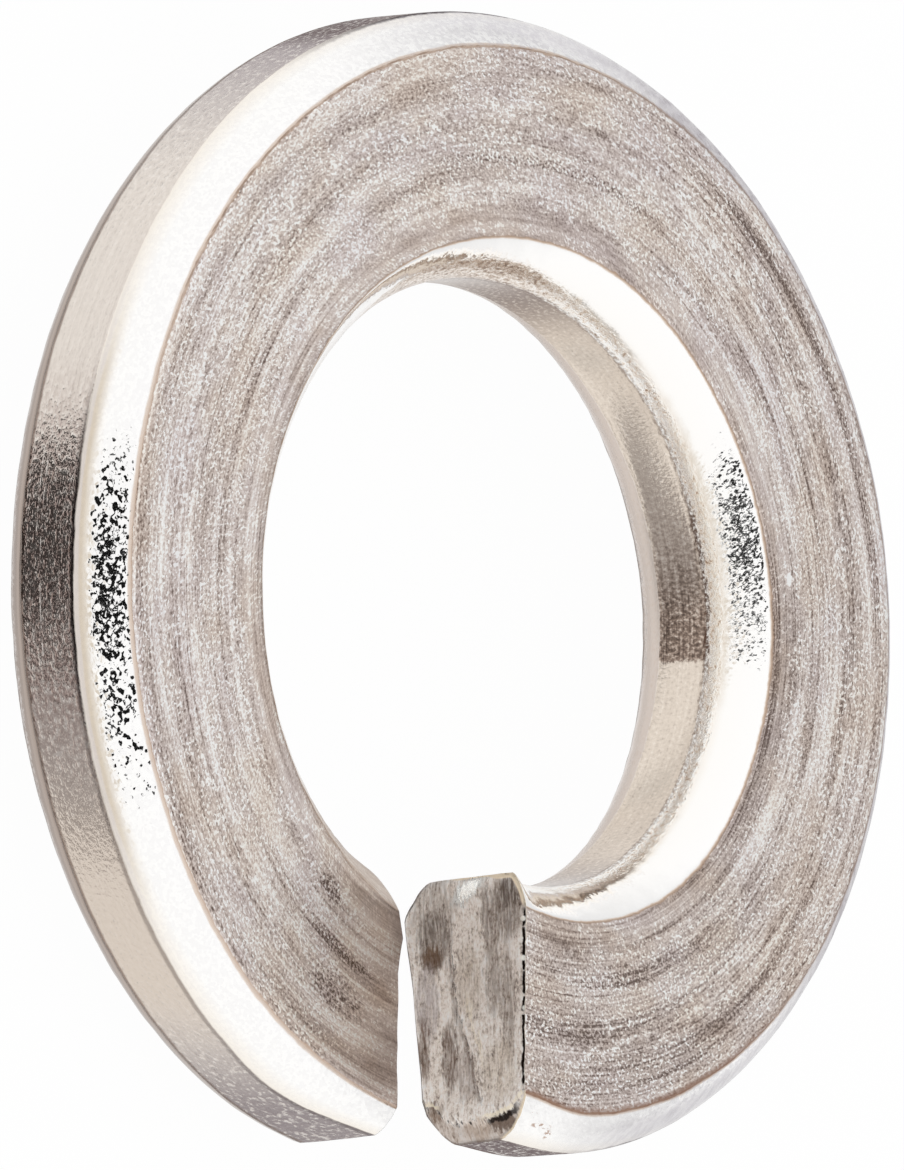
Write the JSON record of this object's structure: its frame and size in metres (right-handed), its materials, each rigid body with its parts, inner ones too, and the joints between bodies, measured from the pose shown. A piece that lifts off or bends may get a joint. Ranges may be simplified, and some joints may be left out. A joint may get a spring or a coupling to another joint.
{
  "type": "spring lock washer",
  "caption": "Helical spring lock washer: one left-hand turn of keystone wire with crowned edges and two sheared, offset ends.",
  "frame": {"origin": "on the bore's axis, level with the washer's lowest corner", "axes": "+Z along the bore's axis towards the high end's face; the split faces -Y"},
  "size_m": [0.0124, 0.0124, 0.0034],
  "materials": {
    "stainless_steel": "plain stainless: satin, finely scratched faces, bright tumbled bevels, torn cut ends"
  },
  "bodies": {
    "root": {"lock_washer": "stainless_steel"}
  },
  "joints": []
}
